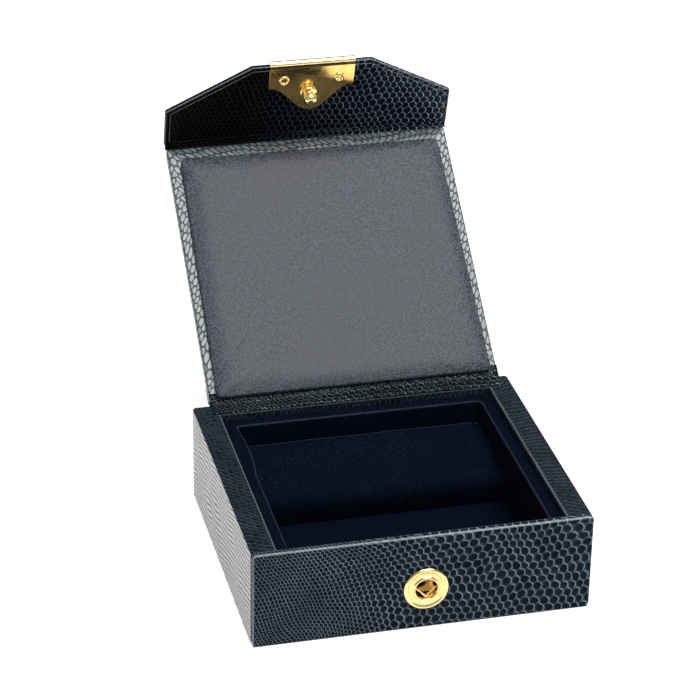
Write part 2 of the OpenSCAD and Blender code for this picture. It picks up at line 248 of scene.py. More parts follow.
def scale_radius(s, cells, inside, own):
    """How far the point lies from its scale's middle, with an uneven rim. 1 is half way to the next scale."""
    rim = s.noise(cells, 5.0, 1.0)
    radius = s.times(s.vector("LENGTH", inside), 2.0)
    radius = s.math("ADD", radius, s.times(s.math("SUBTRACT", rim, 0.5), 0.22))
    return s.math("ADD", radius, s.times(s.math("SUBTRACT", own, 0.5), 0.1))


def painted_highlight_arc(s, radius, side, worn):
    """The painted highlight: a pale crescent on one side of each scale, in the colour arc."""
    ring = s.times(s.ramp(radius, 0.74, 0.88), s.ramp(radius, 0.96, 1.12, 1.0, 0.0))
    highlight_crescent = s.times(ring, s.ramp(side, 0.0, 0.34))
    return s.times(highlight_crescent, s.ramp(worn, 0.25, 0.7, 0.45, 1.0), clamp=True)


def furrow_between_rows(s, cells, worn, depth):
    """The furrow between two rows of scales, from 0 to depth."""
    _, v, _ = s.split(cells)
    row = s.math("FRACT", s.times(v, 2 / sqrt(3)))
    line = s.math("ABSOLUTE", s.math("SUBTRACT", row, 0.5))
    return s.times(s.ramp(line, 0.05, 0.24, 1.0, 0.0), s.ramp(worn, 0.3, 0.6, depth * 0.7, depth))


def hide_colour(s, scale, highlight_crescent, own, grain, worn, deep, gap, arc):
    """Dark scales, each of its own depth, on paler skin with its painted highlight arcs."""
    pale = s.ramp(grain, 0.3, 0.7, 0.7, 1.3, "LINEAR")
    tone = s.ramp(own, 0.0, 1.0, 0.6, 1.5, "LINEAR")
    skin = s.scaled(s.mix(highlight_crescent, gap, arc), pale)
    top = s.scaled(s.mix(s.ramp(worn, 0.3, 0.75), deep, tuple(c * 1.5 for c in deep)), tone)
    return s.mix(scale, skin, top)


def lizard(name, pitch=3.0, fine_pitch=None, turn=(0.0, 0.0), spread=9.0, deep=(0.004, 0.007, 0.012),
           gap=(0.03, 0.042, 0.052), arc=(0.17, 0.21, 0.23), gloss=0.35, shine=0.2, coat=0.0, relief=0.2,
           wander=1.0, stretch=1.12, lean=25, rows=0.0, flat_top=0.62, shade_along_x=None, ragged_by=0.42, tilt=0):
    """Embossed lizard leather: raised scales, paler skin between them, and a painted highlight arc on one
    side.
    """
    # the pale colour of folded edges: part rubbing, part painted highlight
    wear_and_highlight_colour = (0.42, 0.47, 0.5)
    s = Shader(name)
    flat = hide_place(s, wander, tilt, stretch)
    cells = graded(s, flat, pitch, fine_pitch or pitch, turn, spread)
    cells = s.vector("ADD", cells, s.drift(cells, 1.1, 2.0, ragged_by))
    inside, own = scale_cells(s, cells)
    radius = scale_radius(s, cells, inside, own)
    scale = s.ramp(radius, 0.70, 0.88, 1.0, 0.0)
    # toward is the side of each scale where the painted highlight arc lies
    toward = (cos(radians(lean)), sin(radians(lean)), 0.0)
    side = s.math("DIVIDE", s.vector("DOT_PRODUCT", inside, toward), s.math("ADD", radius, 0.02))
    worn = s.noise(flat, 0.07, 3.0)
    grain = s.noise(flat, 3.5, 4.0, 0.65)
    colour = hide_colour(s, scale, painted_highlight_arc(s, radius, side, worn), own, grain, worn, deep, gap, arc)
    rough = s.math("ADD", s.ramp(scale, 0.0, 1.0, gloss + 0.15, gloss), s.ramp(grain, 0.3, 0.7, -0.07, 0.07))
    dome = s.ramp(radius, flat_top, 0.96, 1.0, 0.0)
    dome = s.times(dome, s.math("ADD", 0.85, s.times(side, 0.3)))
    varnish = s.ramp(scale, 0.0, 1.0, coat * 0.25, coat) if coat else 0.0
    if rows:
        furrow = furrow_between_rows(s, cells, worn, rows)
        dome = s.math("SUBTRACT", dome, furrow)
        # painted shade in the furrows: they are coloured darker than the scales
        colour = s.mix(furrow, colour, tuple(c * 0.25 for c in deep))
        varnish = s.math("SUBTRACT", 1.0, furrow)
    # painted shade: the colour darkens towards low x, lighter where the light falls
    if shade_along_x:
        x, _, _ = s.split(flat)
        colour = s.scaled(colour, s.ramp(x, shade_along_x[0], shade_along_x[1], shade_along_x[2], 1.0))
    # pale folded edges: part wear, part painted highlight
    edge = s.times(s.wear_and_highlight(), s.ramp(grain, 0.3, 0.65))
    s.set(Base_Color=s.mix(edge, colour, wear_and_highlight_colour), Roughness=rough, Specular_IOR_Level=shine,
          Normal=s.bump(dome, relief * pitch / 3, 1.0, s.bump(grain, 0.02, 0.6)),
          Coat_Weight=varnish, Coat_Roughness=0.25)
    return s.material


# ---------- other materials ----------


def velvet(name, deep, tip, sheen):
    """Short-pile velvet: almost black, with flecks of pile and a faint bloom where it turns away."""
    # the velvet's pale edge colour: painted highlight where the pile turns at an edge, with some wear
    wear_and_highlight_colour = (0.022, 0.022, 0.036)
    reddish = (tip[0] * 2.2, tip[1], tip[2] * 1.1)
    s = Shader(name)
    place = s.place_mm()
    pile = s.noise(place, 1.6, 3.0, 0.8)
    brushed = s.noise(place, 0.05, 3.0)
    patch = s.ramp(s.noise(place, 0.03, 2.0), 0.4, 0.65)
    lift = s.times(s.ramp(pile, 0.5, 0.68), s.ramp(brushed, 0.3, 0.75, 0.4, 1.0))
    # pale edges: painted highlight, with some wear
    edge = s.times(s.wear_and_highlight(), s.ramp(pile, 0.3, 0.55), clamp=True)
    colour = s.mix(lift, deep, s.mix(patch, tip, reddish))
    s.set(Base_Color=s.mix(edge, colour, wear_and_highlight_colour), Roughness=s.ramp(pile, 0.2, 0.8, 0.85, 1.0),
          Sheen_Weight=sheen, Sheen_Roughness=0.35, Sheen_Tint=(0.28, 0.34, 0.55, 1), Specular_IOR_Level=0.04,
          Normal=s.bump(pile, 0.15, 0.7))
    return s.material


def satin(name):
    """Fine satin: a speckled weave, a soft cloudiness and a silky gloss."""
    dark, pale, clouded = (0.003, 0.003, 0.007), (0.054, 0.060, 0.077), (0.036, 0.036, 0.049)
    s = Shader(name)
    place = s.place_mm()
    grain = s.noise(place, 1.9, 1.0, 0.6)
    cloud = s.noise(place, 0.03, 3.0)
    tone = s.mix(s.ramp(grain, 0.42, 0.58), dark, pale)
    tone = s.mix(s.ramp(cloud, 0.35, 0.65, 0.0, 0.3), tone, clouded)
    s.set(Base_Color=tone, Roughness=s.ramp(grain, 0.3, 0.7, 0.42, 0.58), Specular_IOR_Level=0.25,
          Sheen_Weight=0.1, Sheen_Roughness=0.4, Sheen_Tint=(0.8, 0.82, 0.9, 1),
          Normal=s.bump(grain, 0.08, 0.7))
    return s.material


def brass(name, pale=(0.95, 0.74, 0.36), deep=(0.84, 0.58, 0.23), rough=0.14):
    """Polished brass: a clouded tone, and fine scratches along X."""
    s = Shader(name)
    place = s.place_mm()
    cloud = s.noise(place, 0.5, 3.0)
    scratch = s.noise(s.vector("MULTIPLY", place, (0.5, 6.0, 6.0)), 2.0, 3.0)
    s.set(Base_Color=s.mix(s.ramp(cloud, 0.3, 0.75), pale, deep), Metallic=1.0,
          Roughness=s.ramp(scratch, 0.35, 0.75, rough * 0.7, rough * 1.6), Normal=s.bump(scratch, 0.004, 0.4))
    return s.material


def mottled(name, scale, detail, pale, deep, rough, relief, strength, span=None, squeeze=(1, 1, 1)):
    """A plain material in two tones, with a little relief: board, timber or foam."""
    s = Shader(name)
    spots = s.noise(s.vector("MULTIPLY", s.place_mm(), squeeze), scale, detail)
    s.set(Base_Color=s.mix(s.ramp(spots, *span) if span else spots, pale, deep),
          Roughness=s.ramp(spots, 0.3, 0.7, *rough), Normal=s.bump(spots, relief, strength))
    return s.material


def pale_floor(name):
    """A plain pale floor that glows faintly, so that no shadow shows on it."""
    s = Shader(name)
    mottle = s.noise(s.place_mm(), 0.01, 2.0)
    s.set(Base_Color=s.mix(mottle, (0.4, 0.4, 0.4), (0.42, 0.42, 0.42)), Roughness=0.6,
          Emission_Color=(1, 1, 1, 1), Emission_Strength=0.8)
    return s.material


# ---------- mesh helpers ----------


def corner_ring(points, inset, radius, steps, pieces=None):
    """A convex outline drawn in by inset, its corners rounded. Gives (point, outward normal) pairs, the same
    number for every inset. Where pieces is given, it is how many parts each side in turn is split into."""
    sharpest = 0.02 * MM
    ring = []
    count = len(points)
    for i in range(count):
        before, here, after = (Vector(points[(i + k) % count]) for k in (-1, 0, 1))
        a, b = (here - before).normalized(), (after - here).normalized()
        na, nb = Vector((a.y, -a.x)), Vector((b.y, -b.x))
        mitre = (na + nb) / (1 + na.dot(nb))
        kept = max(radius - inset, sharpest)
        centre = here - mitre * (inset + kept)
        for k in range(steps + 1):
            turned = na.lerp(nb, k / steps).normalized()
            ring.append((centre + turned * kept, turned))
    return split_sides(ring, steps + 1, pieces) if pieces else ring


def split_sides(ring, per_corner, pieces):
    """The ring with its straight sides split, so that a face on it stays small."""
    dense = []
    for i, (point, normal) in enumerate(ring):
        dense.append((point, normal))
        following, turned = ring[(i + 1) % len(ring)]
        if i % per_corner == per_corner - 1:
            parts = pieces[i // per_corner % len(pieces)]
            for k in range(1, parts):
                dense.append((point.lerp(following, k / parts), normal.lerp(turned, k / parts).normalized()))
    return dense


def edge_profile(thick, radius, border, skin, wear_and_highlight=(0.0, 0.0), steps=4):
    """How leather goes round a board's edge, from the face to the turned-in border: (inset, depth, travel,
    pale edge). The last argument says how far its first and its second bend are painted pale: part rubbing,
    part painted highlight."""
    quarter = [pi / 2 * k / steps for k in range(steps + 1)]
    wear_and_highlight_share = [sin(2 * a) ** 2 for a in quarter]
    profile = [(radius * (1 - sin(a)), radius * (1 - cos(a)), radius * a, wear_and_highlight[0] * w)
               for a, w in zip(quarter, wear_and_highlight_share)]
    travel = profile[-1][2] + thick - 2 * radius
    for a, w in zip(quarter, wear_and_highlight_share):
        depth = thick - radius * (1 - sin(a))
        profile.append((radius * (1 - cos(a)), depth, travel + radius * a, wear_and_highlight[1] * w))
    if border:
        travel += radius * pi / 2 + border
        profile += [(border, thick, travel, 0.0), (border, thick - skin, travel + skin, 0.0)]
    return profile


def make(name, bm, material, smooth=True):
    """Makes the mesh an object with one material, its sharp edges kept."""
    bmesh.ops.remove_doubles(bm, verts=bm.verts, dist=1e-6)
    bmesh.ops.recalc_face_normals(bm, faces=bm.faces)
    mesh = bpy.data.meshes.new(name)
    bm.to_mesh(mesh)
    bm.free()
    obj = bpy.data.objects.new(name, mesh)
    bpy.context.scene.collection.objects.link(obj)
    mesh.materials.append(material)
    if smooth:
        mesh.shade_smooth()
        mesh.set_sharp_from_angle(angle=radians(40))
    return obj


def bridge(bm, rings):
    """Quads between each closed ring of points and the next."""
    count = len(rings[0])
    for low, high in zip(rings, rings[1:]):
        for i in range(count):
            j = (i + 1) % count
            bm.faces.new((low[i], low[j], high[j], high[i]))


def wrapped_board(name, outline, radius, profile, matrix, material, z0=0.0, hole=None, wear_and_highlight_share=None, pieces=None):
    """Leather wrapped round a board. The face lies at z0, and depth counts along +Z from there. The pale-edge
    share says how far the pale edge, part wear and part painted highlight, counts at a point of the outline,
    and hole is a round hole's (centre, radius)."""
    bm = bmesh.new()
    uv = bm.loops.layers.uv.new(HIDE)
    wear_and_highlight = bm.verts.layers.float.new(WEAR_AND_HIGHLIGHT)
    place = {}
    rings = []
    first = corner_ring(outline, profile[0][0], radius, BOARD_CORNER_STEPS, pieces)
    for inset, depth, travel, worn in profile:
        ring = []
        drawn_in = corner_ring(outline, inset, radius, BOARD_CORNER_STEPS, pieces)
        for (p, n), (p0, n0) in zip(drawn_in, first):
            v = bm.verts.new((p.x, p.y, z0 + depth))
            v[wear_and_highlight] = worn * (wear_and_highlight_share(p, n) if wear_and_highlight_share else 1.0)
            place[v] = (p0 + n0 * travel) / MM
            ring.append(v)
        rings.append(ring)
    bridge(bm, rings)
    if hole:
        centre, hole_r = hole
        rim = []
        for v in rings[0]:
            out = (Vector(v.co.xy) - centre).normalized() * hole_r + centre
            w = bm.verts.new((out.x, out.y, z0))
            place[w] = out / MM
            rim.append(w)
        bridge(bm, [rings[0], rim])
    else:
        bm.faces.new(rings[0])
    for face in bm.faces:
        for loop in face.loops:
            loop[uv].uv = place[loop.vert]
    bm.transform(matrix)
    return make(name, bm, material)


def strip(name, sections, material, closed=False, caps=False):
    """Quads through equal lists of (3-D point, (u, v) in millimetres), with the wear and painted highlight
    there as an optional third. closed joins each list's end to its start, and caps closes the first and the
    last list."""
    bm = bmesh.new()
    uv = bm.loops.layers.uv.new(HIDE)
    wear_and_highlight = bm.verts.layers.float.new(WEAR_AND_HIGHLIGHT)
    rows = []
    for section in sections:
        rows.append([(bm.verts.new(item[0]), item[1]) for item in section])
        for (v, _), item in zip(rows[-1], section):
            v[wear_and_highlight] = item[2] if len(item) > 2 else 0.0
    for a, b in zip(rows, rows[1:]):
        count = len(a)
        for i in range(count if closed else count - 1):
            j = (i + 1) % count
            face = bm.faces.new((a[i][0], a[j][0], b[j][0], b[i][0]))
            for loop, corner in zip(face.loops, (a[i], a[j], b[j], b[i])):
                loop[uv].uv = corner[1]
    if caps:
        for row in (rows[0], rows[-1]):
            bm.faces.new([v for v, _ in row])
    return make(name, bm, material)


def lathe(name, profile, matrix, material, turns=64):
    """A turned piece: profile is (radius, height) in millimetres, and matrix places its axis, local Z."""
    bm = bmesh.new()
    rings = []
    for radius, height in profile:
        if radius == 0:
            rings.append([bm.verts.new((0, 0, height * MM))] * turns)
        else:
            angles = [2 * pi * k / turns for k in range(turns)]
            rings.append([bm.verts.new((radius * MM * cos(a), radius * MM * sin(a), height * MM))
                          for a in angles])
    for low, high in zip(rings, rings[1:]):
        for i in range(turns):
            j = (i + 1) % turns
            corners = list(dict.fromkeys((low[i], low[j], high[j], high[i])))
            if len(corners) > 2:
                bm.faces.new(corners)
    bm.transform(matrix)
    return make(name, bm, material)


def dress(obj, body, slot, *nodes):
    """Rides obj on its body, for the CAD nodes that it stands for."""
    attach(obj, body)
    if nodes:
        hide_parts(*nodes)
    return obj


def rounded(points, radius, steps=4):
    """An open profile with its inner corners rounded."""
    most = 0.45  # of a side's length that a corner's rounding may use
    result = [Vector(points[0])]
    for before, here, after in zip(points, points[1:], points[2:]):
        here = Vector(here)
        a = (Vector(before) - here)
        b = (Vector(after) - here)
        reach = min(radius, a.length * most, b.length * most)
        start, end = here + a.normalized() * reach, here + b.normalized() * reach
        for k in range(steps + 1):
            t = k / steps
            result.append(start * (1 - t) ** 2 + here * 2 * t * (1 - t) + end * t ** 2)
    result.append(Vector(points[-1]))
    return result


def with_travel(path):
    """The path's points, each with the length of path before it."""
    travel = 0.0
    result = []
    for i, point in enumerate(path):
        if i:
            travel += (point - path[i - 1]).length
        result.append((point, travel))
    return result


def side_points(matrix, places):
    """(y, z) on the object for places given as (along, height), in millimetres, in the frame of matrix."""
    points = [matrix @ Vector((0, along * MM, height * MM)) for along, height in places]
    return [Vector((p.y, p.z)) for p in points]


def arc(x, y, radius, angles):
    """Points round (x, y), at angles in degrees."""
    turned = [radians(a) for a in angles]
    return [(x + radius * cos(a), y + radius * sin(a)) for a in turned]


def centre_of(low, high):
    return (low + high) / 2


# ---------- the materials in use ----------

# in each hide, arc is the colour of the painted highlight arcs on the scales
front_hide = lizard("front_lizard", pitch=2.95, fine_pitch=1.26, turn=(-20.0, 17.0), spread=9.0, shine=0.03,
                    deep=(0.0025, 0.005, 0.009), gap=(0.022, 0.034, 0.045), arc=(0.18, 0.23, 0.26))
# the walls' pale colours are painted reflection: they stand for the sheen of the dark leather at a grazing
# view
side_hide_painted_sheen = lizard("side_lizard_painted_sheen", pitch=1.9, gloss=0.3, relief=0.1, shine=0.02, wander=1.0, rows=0.8,
                   deep=(0.17, 0.18, 0.17), gap=(0.09, 0.095, 0.09), arc=(0.18, 0.19, 0.18), stretch=1.1,
                   ragged_by=0.14, tilt=-14)
rim_hide = lizard("rim_lizard", pitch=2.3, gloss=0.4, relief=0.2, shine=0.05, wander=1.2, ragged_by=0.25,
                  gap=(0.005, 0.009, 0.013), arc=(0.05, 0.068, 0.075))
# the lid border's scales are paler than the front's, partly as painted reflection of the overhead light, on
# top of the real coat
lid_hide = lizard("lid_lizard", pitch=2.5, gloss=0.24, shine=0.15, coat=1.0, wander=1.5, ragged_by=0.18,
                  deep=(0.045, 0.062, 0.066), gap=(0.002, 0.004, 0.006), arc=(0.03, 0.042, 0.046),
                  flat_top=0.78, relief=0.25)
# the flap's hide is painted darker towards low x, as painted shade
flap_hide = lizard("flap_lizard", pitch=2.6, fine_pitch=1.9, turn=(-10.0, 16.0), spread=12.0, gloss=0.26,
                   shine=0.05, lean=5, shade_along_x=(-26.0, 50.0, 0.03),
                   deep=(0.0015, 0.0035, 0.008), gap=(0.010, 0.016, 0.026), arc=(0.24, 0.29, 0.33))
# the hinge strip's skin is painted near black, as painted shade under the pad; its arcs are painted
# highlights
strip_hide = lizard("strip_lizard", pitch=2.6, fine_pitch=1.5, turn=(-20.0, 0.0), spread=10.0, gloss=0.2,
                    relief=0.9, shine=0.1, deep=(0.001, 0.003, 0.005), gap=(0.001, 0.003, 0.005),
                    arc=(0.13, 0.18, 0.19), lean=60, ragged_by=0.2)
under_hide = lizard("underside_leatherette", pitch=1.2, gloss=0.6, relief=0.1, gap=(0.012, 0.016, 0.02),
                    arc=(0.02, 0.026, 0.03))
tray_velvet = velvet("tray_velvet", (0.0002, 0.0012, 0.0050), (0.0016, 0.009, 0.022), 0.015)
roll_velvet = velvet("roll_velvet", (0.0002, 0.0013, 0.0050), (0.0032, 0.014, 0.032), 0.015)
pad_satin = satin("pad_satin")
gold = brass("polished_brass")
plate_gold = brass("plate_brass", pale=(0.95, 0.66, 0.22), deep=(0.84, 0.52, 0.13), rough=0.18)
board = mottled("grey_board", 1.2, 4.0, (0.30, 0.28, 0.24), (0.52, 0.48, 0.42), (0.8, 0.95), 0.05, 0.5)
wood = mottled("wall_wood", 1.0, 4.0, (0.42, 0.28, 0.15), (0.62, 0.45, 0.27), (0.55, 0.75), 0.05, 0.5,
               span=(0.3, 0.7), squeeze=(0.08, 0.08, 0.9))
roll_foam = mottled("roll_foam", 2.0, 3.0, (0.5, 0.48, 0.42), (0.7, 0.68, 0.6), (0.85, 1.0), 0.3, 0.8)


# ---------- box ----------


def straight(start, end, normal, inner_start, inner_end, inner_normal, count):
    """Stations along a straight wall: (outer point, its normal, the rim's inner point, its normal)."""
    a, b, c, d = (Vector(p) for p in (start, end, inner_start, inner_end))
    return [(a.lerp(b, k / count), normal, c.lerp(d, k / count), inner_normal) for k in range(count + 1)]


def bend(centre, from_angle, inner, inner_normal, steps=8):
    """Stations round an outer corner of the walls, its two ends left out."""
    stations = []
    for k in range(1, steps):
        a = radians(from_angle - 90 * k / steps)
        normal = Vector((cos(a), sin(a)))
        stations.append((centre + normal * WALL_CORNER, normal, inner, inner_normal))
    return stations


def wall_stations(half, front, back, rim_x, rim_back):
    """Stations from the left wall's front, round the back, to the right wall's front."""
    left, right, up = Vector((-1, 0)), Vector((1, 0)), Vector((0, 1))
    in_left, in_right = Vector((-rim_x, rim_back)), Vector((rim_x, rim_back))
    turn_x, turn_y = half - WALL_CORNER, back - WALL_CORNER
    stations = straight((-half, front), (-half, turn_y), left, (-rim_x, front), in_left, left, 12)
    stations += bend(Vector((-turn_x, turn_y)), 180, in_left, left + up)
    stations += straight((-turn_x, back), (turn_x, back), up, in_left, in_right, up, 16)
    stations += bend(Vector((turn_x, turn_y)), 90, in_right, right + up)
    stations += straight((half, turn_y), (half, front), right, in_right, (rim_x, front), right, 12)
    return stations


def wall_section(station, bottom, top, depth):
    """Up a wall, over its rim and down its inside: (point, length of leather so far, wear and painted
    highlight).
    """
    outer, normal, inner, inner_normal = station
    far = top + (outer - inner).length
    arcs = [pi / 2 * k / 4 for k in range(5)]
    row = [((outer.x, outer.y, bottom), bottom, 0.0)]
    for a in arcs:
        p = outer - normal * WALL_EDGE * (1 - cos(a))
        row.append(((p.x, p.y, top - WALL_EDGE * (1 - sin(a))), top - WALL_EDGE + WALL_EDGE * a, 0.0))
    # the rim's inner edge is painted pale: part wear, part painted highlight
    for a in arcs:
        p = inner + inner_normal * WALL_EDGE * (1 - sin(a))
        z = top - WALL_EDGE * (1 - cos(a))
        row.append(((p.x, p.y, z), far - WALL_EDGE + WALL_EDGE * a, 0.3 * sin(2 * a)))
    row.append(((inner.x, inner.y, top - depth), far + depth, 0.0))
    return row


def wall_cover():
    """One strip of leather round the left, back and right walls, turned over the rims. The rims' leather is
    darker than the walls', whose pale colour is painted reflection, standing for the light that they mirror
    at a grazing view."""
    low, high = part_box("wall_leather")
    rim_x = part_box("front_rail")[1].x - 0.5 * MM
    rim_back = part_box("hinge_leather")[0].y
    turned_in = 12 * MM
    stations = wall_stations(high.x, low.y, high.y, rim_x, rim_back)
    sections = []
    for station, travel in zip(stations, [t for _, t in with_travel([s[0] for s in stations])]):
        row = wall_section(station, low.z, high.z, turned_in)
        sections.append([(point, (travel / MM, along / MM), worn) for point, along, worn in row])
    obj = strip("wall_cover", sections, side_hide_painted_sheen)
    obj.data.materials.append(rim_hide)
    near = 0.4 * MM
    for face in obj.data.polygons:
        on_rim = face.center.z > high.z - 0.5 * MM
        inside = abs(face.center.x) < rim_x + near and face.center.y < rim_back + near
        face.material_index = int(on_rim or inside)
    return dress(obj, "base", "leather", "wall_leather")


def front_wear_and_highlight(point, normal):
    """The front's pale edges, part rubbing and part painted highlight: the top edge palest, then its left
    edge, and the bottom hardly at all.
    """
    sideways = 0.85 if normal.x < 0 else 0.15
    return 0.9 * max(normal.y, 0) ** 2 + sideways * normal.x ** 2


def front_cover():
    """Leather over the front panel, its edges softly rounded, with the hole for the socket."""
    low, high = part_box("front_leather")
    outline = [(low.x, low.z), (high.x, low.z), (high.x, high.z), (low.x, high.z)]
    middle = centre_of(*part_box("socket_ring"))
    hole = (Vector((middle.x, middle.z)), 4.5 * MM)
    profile = edge_profile(high.y - low.y, LEATHER_EDGE, 12 * MM, 0.5 * MM, (1.0, 0.8))
    obj = wrapped_board("front_cover", outline, 1.6 * MM, profile, FRONT, front_hide, low.y, hole,
                        wear_and_highlight_share=front_wear_and_highlight, pieces=(60, 24))
    return dress(obj, "base", "leather", "front_leather")


def tray_lining():
    """The velvet tray: a flange on the rims' inside, and walls that go down to the floor."""
    low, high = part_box("tray_liner")
    floor_low, floor_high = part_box("tray_floor")
    roll_low, roll_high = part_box("roll_cover")
    gap = 0.1 * MM
    x1, y0, y1 = floor_high.x + gap, floor_low.y - gap, floor_high.y + gap
    outer = [(low.x, low.y), (high.x, low.y), (high.x, high.y), (low.x, high.y)]
    inner = [(-x1, y0), (x1, y0), (x1, y1), (-x1, y1)]
    drop_to_floor = (high.z - floor_low.z) / MM
    levels = [  # (outline, inset, corner radius, drop, wear and painted highlight), in millimetres
        (outer, 0, 4.5, 1.0, 0), (outer, 0, 4.5, 0.35, 0),
        (outer, 0.12, 4.5, 0.1, 0.6), (outer, 0.4, 4.5, 0, 0),
        (inner, -0.7, 1.5, 0, 0), (inner, -0.35, 1.5, 0.08, 1),
        (inner, -0.1, 1.5, 0.35, 0.7), (inner, 0, 1.5, 0.7, 0),
        (inner, 0, 1.5, 6, 0), (inner, 0, 1.5, drop_to_floor, 0),
    ]

    def slack(p, drop):
        """How far the left wall's velvet stands off near its top, beside the roll."""
        if drop >= 5 or p.x > -x1 * 0.9 or not roll_low.y < p.y < roll_high.y:
            return 0.0
        along = (p.y - roll_low.y) / (roll_high.y - roll_low.y)
        return 1.2 * MM * sin(pi * along) ** 0.7

    sections = []
    for outline, inset, radius, drop, worn in levels:
        row = []
        for p, _ in corner_ring(outline, inset * MM, radius * MM, 6, (34, 32)):
            loose = slack(p, drop) if outline is inner else 0.0
            row.append(((p.x + loose, p.y, high.z - drop * MM), (p.x / MM, p.y / MM), worn))
        sections.append(row)
    obj = strip("tray_lining", sections, tray_velvet, closed=True)
    return dress(obj, "base", "velvet", "tray_liner")


def roll_outline(low, high):
    """The roll's section as (y, z): up its back, crowned along its top, and down over its rounded front."""
    back_z, front_z = high.z - 0.1 * MM, 20.4 * MM
    nose, crown = 4.5 * MM, 0.95 * MM
    run = low.y + nose - high.y
    outline = [(high.y, low.z), (high.y, back_z - 1.2 * MM), (high.y - 0.4 * MM, back_z - 0.3 * MM)]
    count = 18
    for k in range(1, count + 1):
        t = k / count
        outline.append((high.y + run * t, back_z + (front_z - back_z) * t + 4 * crown * t * (1 - t)))
    outline += arc(low.y + nose, front_z - nose, nose, [90 + 9 * k for k in range(1, 11)])
    return outline + [(low.y, low.z + 0.6 * MM), (low.y + 0.3 * MM, low.z)]


def roll():
    """The raised velvet roll, with its ends tucked in and a painted highlight along its back edge."""
    low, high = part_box("roll_cover")
    outline = roll_outline(low, high)
    columns = 60
    sections = []
    for k in range(columns + 1):
        x = high.x * (2 * k / columns - 1)
        tuck = exp(-(high.x - abs(x)) / (1.3 * MM))
        row = []
        for y, z in outline:
            rise = (z - low.z) / (high.z - low.z)
            sink = 0.9 * MM * tuck * rise
            soft = 0.12 * MM * sin(x / MM * 0.21 + y / MM * 0.13) * (1 - tuck)
            # a pale line along the back edge: painted highlight
            worn = 1.0 if high.y - 0.9 * MM < y < high.y - 0.1 * MM else 0.0
            row.append(((x, y, z - sink + soft * rise), (x / MM, (y + z) / MM), worn))
        sections.append(row)
    obj = strip("roll_velvet", sections, roll_velvet, closed=True, caps=True)
    dress(obj, "base", "velvet", "roll_cover")
    return obj


def hinge_strip():
    """The inner hinge leather, one strip from the back rim to the lid."""
    low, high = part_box("hinge_leather")
    rim_top = low.z
    top = rim_top + 0.4 * MM
    path = rounded([
        (low.y, rim_top + 0.05 * MM), (low.y + 0.4 * MM, top), (hinge.y - 1.5 * MM, top + 0.05 * MM),
        (hinge.y - 0.3 * MM, rim_top + 0.9 * MM), *side_points(LID, [(1.4, 0.42), (3.4, 0.25)]),
    ], 0.8 * MM)
    return leather_strip("hinge_strip", path, (high.x - low.x) / 2, strip_hide,
                         ("hinge_leather", "lid_hinge_leather"), 120, 0.25 * MM, lumps=0.22 * MM)


def leather_strip(name, path, half, material, nodes, columns, thick, lumps=0.0):
    """A strip of leather along X, given thickness, standing in for the CAD nodes that it hides. path is its
    section, as (y, z).
    """
    sections = []
    for i, (point, travel) in enumerate(with_travel(path)):
        row = []
        for k in range(columns + 1):
            x = lid_x - half + 2 * half * k / columns
            wave = sin(x / MM * 2.4 + i * 1.7) * sin(x / MM * 0.9 + i * 0.6)
            lift = lumps * wave if 0 < i < len(path) - 1 else 0
            row.append(((x, point.x, point.y + lift), (x / MM, travel / MM)))
        sections.append(row)
    obj = strip(name, sections, material)
    skin = obj.modifiers.new("leather", "SOLIDIFY")
    skin.thickness = thick
    skin.offset = 0
    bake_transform(obj)
    if nodes:
        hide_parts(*nodes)
    return obj


def spine():
    """The outer leather: down the back wall, under the lid's edge and out along the lid."""
    low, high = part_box("spine_leather")
    lid_low, _ = local_box("lid_leather", LID)
    under = lid_low.z / MM - 0.15
    points = [(high.y, low.z), (high.y, high.z - 0.4 * MM)]
    points += side_points(LID, [(0.55, -0.6), (0.45, -2.2), (1.6, under), (7.0, under)])
    path = rounded(points, 1.0 * MM)
    return leather_strip("spine_strip", path, (high.x - low.x) / 2, rim_hide,
                         ("spine_leather",), 120, 0.25 * MM)


# ---------- lid ----------


def lid_cover():
    """Leather over the lid's board, turned in as the border that shows round the pad."""
    low, high = local_box("lid_leather", LID)
    outline = [(low.x, low.y), (high.x, low.y), (high.x, high.y), (low.x, high.y)]
    profile = edge_profile(high.z - low.z, LEATHER_EDGE, 10 * MM, 0.5 * MM, (0.3, 0.3))
    obj = wrapped_board("lid_cover", outline, 1.2 * MM, profile, LID, lid_hide, low.z)
    return dress(obj, "lid", "leather", "lid_leather")


def inflate(obj, held, cap):
    """Cloth simulation: the cloth swells under pressure while the held points stay, then it is made mesh. It
    runs at grown times the real size, because the pad is thin."""
    grown, frames = 10.0, 20
    mesh = obj.data
    start = np.array([v.co for v in mesh.vertices])
    mesh.vertices.foreach_set("co", (start * grown).ravel())
    group = obj.vertex_groups.new(name="held")
    group.add(held, 1.0, "REPLACE")
    cloth = obj.modifiers.new("cloth", "CLOTH")
    set_cloth(cloth, group.name)
    scene = bpy.context.scene
    for k in range(1, frames + 1):
        scene.frame_set(k)
    seen = obj.evaluated_get(bpy.context.evaluated_depsgraph_get()).data
    moved = np.array([v.co for v in seen.vertices]) / grown - start
    size = np.linalg.norm(moved, axis=1, keepdims=True)
    moved *= np.minimum(1.0, cap / np.maximum(size, 1e-9))
    obj.modifiers.remove(cloth)
    obj.vertex_groups.clear()
    mesh.vertices.foreach_set("co", (start + moved).ravel())
    mesh.update()
    scene.frame_set(1)


def set_cloth(cloth, held_group):
    """A light satin, blown up by air and free of gravity."""
    settings = cloth.settings
    settings.quality = 3
    settings.mass = 0.2
    settings.tension_stiffness = settings.compression_stiffness = 12
    settings.shear_stiffness = 8
    settings.bending_stiffness = 0.4
    settings.use_pressure = True
    settings.uniform_pressure_force = 4
    settings.effector_weights.gravity = 0
    settings.vertex_group_mass = held_group
    settings.shrink_min = -0.004
    cloth.collision_settings.use_collision = False


